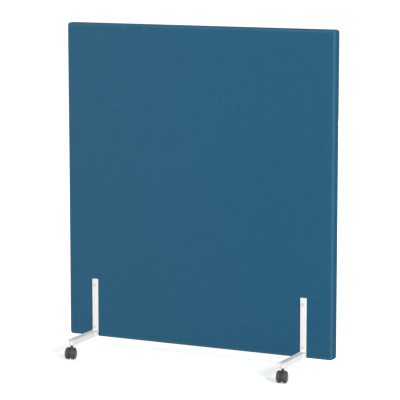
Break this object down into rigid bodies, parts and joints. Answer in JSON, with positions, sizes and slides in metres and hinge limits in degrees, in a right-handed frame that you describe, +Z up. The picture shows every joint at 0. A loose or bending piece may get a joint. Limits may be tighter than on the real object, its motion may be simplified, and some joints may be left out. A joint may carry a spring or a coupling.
{
  "type": "rolling partition",
  "caption": "Free-standing upholstered screen panel on bolted steel T-arm feet with twin-wheel swivel castors, for dividing a room.",
  "frame": {"origin": "on the floor, under the middle of the panel", "axes": "+Z up along the panel's height, +X along the panel to the right seen from the front, the front faces -Y"},
  "size_m": [1.2, 0.5426, 1.374],
  "materials": {
    "fabric": "plain woven upholstery cloth, matt",
    "padding": "polyester wadding",
    "timber": "planed softwood",
    "infill": "mineral wool slab",
    "strip": "grey fibre board",
    "white_steel": "white powder coat, semi-matt",
    "white_bolt": "white painted dome head",
    "socket": "grey nylon",
    "zinc": "bright zinc plate",
    "black_plastic": "black nylon, fine texture",
    "black_wheel": "black nylon wheel, slightly worn tread"
  },
  "bodies": {
    "panel_and_feet": {"fabric_cover": "fabric", "bottom_strip": "strip", "front_padding": "padding", "rear_padding": "padding", "left_stile": "timber", "right_stile": "timber", "top_rail": "timber", "middle_rail": "timber", "bottom_rail": "timber", "left_foot_block": "timber", "right_foot_block": "timber", "lower_infill": "infill", "upper_infill": "infill", "front_left_upright": "white_steel", "front_left_arm": "white_steel", "front_left_stem_bush": "white_steel", "front_left_stem_socket": "socket", "front_left_castor_stem": "zinc", "front_left_upper_bolt": "white_bolt", "front_left_lower_bolt": "white_bolt", "front_right_upright": "white_steel", "front_right_arm": "white_steel", "front_right_stem_bush": "white_steel", "front_right_stem_socket": "socket", "front_right_castor_stem": "zinc", "front_right_upper_bolt": "white_bolt", "front_right_lower_bolt": "white_bolt", "rear_left_upright": "white_steel", "rear_left_arm": "white_steel", "rear_left_stem_bush": "white_steel", "rear_left_stem_socket": "socket", "rear_left_castor_stem": "zinc", "rear_left_upper_sleeve_nut": "white_bolt", "rear_left_lower_sleeve_nut": "white_bolt", "rear_right_upright": "white_steel", "rear_right_arm": "white_steel", "rear_right_stem_bush": "white_steel", "rear_right_stem_socket": "socket", "rear_right_castor_stem": "zinc", "rear_right_upper_sleeve_nut": "white_bolt", "rear_right_lower_sleeve_nut": "white_bolt"},
    "front_left_swivel": {"front_left_castor_body": "black_plastic", "front_left_castor_axle": "zinc"},
    "front_left_wheel_a": {"front_left_wheel_a": "black_wheel"},
    "front_left_wheel_b": {"front_left_wheel_b": "black_wheel"},
    "front_right_swivel": {"front_right_castor_body": "black_plastic", "front_right_castor_axle": "zinc"},
    "front_right_wheel_a": {"front_right_wheel_a": "black_wheel"},
    "front_right_wheel_b": {"front_right_wheel_b": "black_wheel"},
    "rear_left_swivel": {"rear_left_castor_body": "black_plastic", "rear_left_castor_axle": "zinc"},
    "rear_left_wheel_a": {"rear_left_wheel_a": "black_wheel"},
    "rear_left_wheel_b": {"rear_left_wheel_b": "black_wheel"},
    "rear_right_swivel": {"rear_right_castor_body": "black_plastic", "rear_right_castor_axle": "zinc"},
    "rear_right_wheel_a": {"rear_right_wheel_a": "black_wheel"},
    "rear_right_wheel_b": {"rear_right_wheel_b": "black_wheel"}
  },
  "joints": [
    {"name": "front_left_swivel_turn", "type": "hinge", "parent": "panel_and_feet", "child": "front_left_swivel", "pos_m": [-0.4745, -0.2326, 0.05], "axis": [0, 0, 1], "continuous": true},
    {"name": "front_left_wheel_a_spin", "type": "hinge", "parent": "front_left_swivel", "child": "front_left_wheel_a", "pos_m": [-0.48571, -0.24676, 0.025], "axis": [0.9848, 0.1736, 0], "continuous": true},
    {"name": "front_left_wheel_b_spin", "type": "hinge", "parent": "front_left_swivel", "child": "front_left_wheel_b", "pos_m": [-0.45912, -0.24207, 0.025], "axis": [0.9848, 0.1736, 0], "continuous": true},
    {"name": "front_right_swivel_turn", "type": "hinge", "parent": "panel_and_feet", "child": "front_right_swivel", "pos_m": [0.4745, -0.2326, 0.05], "axis": [0, 0, 1], "continuous": true},
    {"name": "front_right_wheel_a_spin", "type": "hinge", "parent": "front_right_swivel", "child": "front_right_wheel_a", "pos_m": [0.46329, -0.24676, 0.025], "axis": [0.9848, 0.1736, 0], "continuous": true},
    {"name": "front_right_wheel_b_spin", "type": "hinge", "parent": "front_right_swivel", "child": "front_right_wheel_b", "pos_m": [0.48988, -0.24207, 0.025], "axis": [0.9848, 0.1736, 0], "continuous": true},
    {"name": "rear_left_swivel_turn", "type": "hinge", "parent": "panel_and_feet", "child": "rear_left_swivel", "pos_m": [-0.4745, 0.2326, 0.05], "axis": [0, 0, 1], "continuous": true},
    {"name": "rear_left_wheel_a_spin", "type": "hinge", "parent": "rear_left_swivel", "child": "rear_left_wheel_a", "pos_m": [-0.46329, 0.24676, 0.025], "axis": [-0.9848, -0.1736, 0], "continuous": true},
    {"name": "rear_left_wheel_b_spin", "type": "hinge", "parent": "rear_left_swivel", "child": "rear_left_wheel_b", "pos_m": [-0.48988, 0.24207, 0.025], "axis": [-0.9848, -0.1736, 0], "continuous": true},
    {"name": "rear_right_swivel_turn", "type": "hinge", "parent": "panel_and_feet", "child": "rear_right_swivel", "pos_m": [0.4745, 0.2326, 0.05], "axis": [0, 0, 1], "continuous": true},
    {"name": "rear_right_wheel_a_spin", "type": "hinge", "parent": "rear_right_swivel", "child": "rear_right_wheel_a", "pos_m": [0.48571, 0.24676, 0.025], "axis": [-0.9848, -0.1736, 0], "continuous": true},
    {"name": "rear_right_wheel_b_spin", "type": "hinge", "parent": "rear_right_swivel", "child": "rear_right_wheel_b", "pos_m": [0.45912, 0.24207, 0.025], "axis": [-0.9848, -0.1736, 0], "continuous": true}
  ]
}
